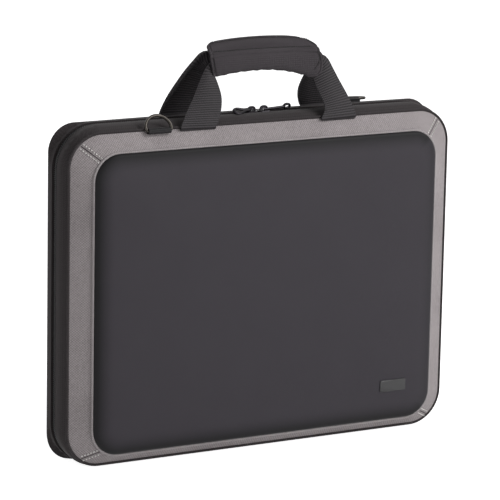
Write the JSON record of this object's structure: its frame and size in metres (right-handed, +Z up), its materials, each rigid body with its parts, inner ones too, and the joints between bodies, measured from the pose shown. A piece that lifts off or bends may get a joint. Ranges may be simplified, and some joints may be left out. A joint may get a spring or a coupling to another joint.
{
  "type": "laptop hard case",
  "caption": "Moulded laptop hard case with a bevelled mitred border, zip closure, twin webbing handles in a padded grip and shoulder-strap rings.",
  "frame": {"origin": "on the floor under the case, at the middle of its width, on the axis of the cloth hinge between the halves (the zip's plane)", "axes": "+X to the right seen from the front panel, +Y back from the front panel to the rear shell, +Z up to the handles"},
  "size_m": [0.433, 0.0825, 0.411],
  "materials": {
    "panel_laminate": "smooth black laminated cloth over moulded foam",
    "border_fabric": "plain-woven grey polyester",
    "piping_fabric": "dark woven piping",
    "gusset_fabric": "dark woven polyester",
    "lining_fabric": "soft brushed lining",
    "pad_foam": "closed-cell foam",
    "strap_fabric": "brushed strap",
    "label_rubber": "plain soft label, bare",
    "zip_tape": "woven zip tape",
    "zip_coil": "nylon coil",
    "webbing": "ribbed nylon webbing",
    "grip_fabric": "padded woven cloth",
    "hook_tape": "hook tape",
    "loop_tape": "loop tape",
    "ring_steel": "black nickel plated wire",
    "slider_metal": "gunmetal plated casting"
  },
  "bodies": {
    "rear_half": {"rear_shell": "panel_laminate", "rear_gusset": "gusset_fabric", "rear_lining": "lining_fabric", "laptop_corner_pads": "pad_foam", "laptop_straps": "strap_fabric", "rear_zip_tape": "zip_tape", "rear_zip_coil": "zip_coil", "hinge_strip_rear": "gusset_fabric", "rear_handle_anchors": "webbing", "dring_tab_right": "webbing"},
    "front_half": {"front_panel": "panel_laminate", "border_top": "border_fabric", "border_bottom": "border_fabric", "border_left": "border_fabric", "border_right": "border_fabric", "front_piping": "piping_fabric", "front_gusset": "gusset_fabric", "front_lining": "lining_fabric", "lid_pocket": "lining_fabric", "label_patch": "label_rubber", "front_zip_tape": "zip_tape", "front_zip_coil": "zip_coil", "hinge_strip_front": "gusset_fabric", "front_handle_anchors": "webbing", "dring_tab_left": "webbing"},
    "front_handle": {"front_webbing": "webbing", "grip_wrap": "grip_fabric", "grip_loop_strip": "loop_tape"},
    "rear_handle": {"rear_webbing": "webbing"},
    "flap": {"grip_flap": "grip_fabric", "grip_hook_strip": "hook_tape"},
    "ring_left": {"dring_left": "ring_steel"},
    "ring_right": {"dring_right": "ring_steel"},
    "left_slider": {"slider_left": "slider_metal"},
    "right_slider": {"slider_right": "slider_metal"},
    "left_pull": {"pull_left": "slider_metal"},
    "right_pull": {"pull_right": "slider_metal"}
  },
  "joints": [
    {"name": "lid", "type": "hinge", "parent": "rear_half", "child": "front_half", "pos_m": [0, 0, 0], "axis": [1, 0, 0], "range_deg": [0, 170]},
    {"name": "front_handle_fold", "type": "hinge", "parent": "front_half", "child": "front_handle", "pos_m": [0, -0.0289, 0.3296], "axis": [1, 0, 0], "range_deg": [0, 130]},
    {"name": "rear_handle_fold", "type": "hinge", "parent": "rear_half", "child": "rear_handle", "pos_m": [0, 0.0173, 0.3365], "axis": [-1, 0, 0], "range_deg": [0, 110]},
    {"name": "grip_flap_lift", "type": "hinge", "parent": "front_handle", "child": "flap", "pos_m": [0.0115, -0.0155, 0.3983], "axis": [1, 0, 0], "range_deg": [0, 150]},
    {"name": "ring_left_swing", "type": "hinge", "parent": "front_half", "child": "ring_left", "pos_m": [-0.1163, -0.02898, 0.32896], "axis": [1, 0, 0], "range_deg": [0, 150]},
    {"name": "ring_right_swing", "type": "hinge", "parent": "rear_half", "child": "ring_right", "pos_m": [0.1233, 0.01906, 0.33799], "axis": [1, 0, 0], "range_deg": [0, 150]},
    {"name": "slider_left_run", "type": "slide", "parent": "rear_half", "child": "left_slider", "axis": [-1, 0, 0], "range_m": [0, 0.15]},
    {"name": "slider_right_run", "type": "slide", "parent": "rear_half", "child": "right_slider", "axis": [1, 0, 0], "range_m": [0, 0.15]},
    {"name": "pull_left_lift", "type": "hinge", "parent": "left_slider", "child": "left_pull", "pos_m": [-0.0012, 0, 0.3375], "axis": [-0.309, 0.9511, 0], "range_deg": [0, 135]},
    {"name": "pull_right_lift", "type": "hinge", "parent": "right_slider", "child": "right_pull", "pos_m": [0.0128, 0, 0.3375], "axis": [0, -1, 0], "range_deg": [0, 135]}
  ]
}
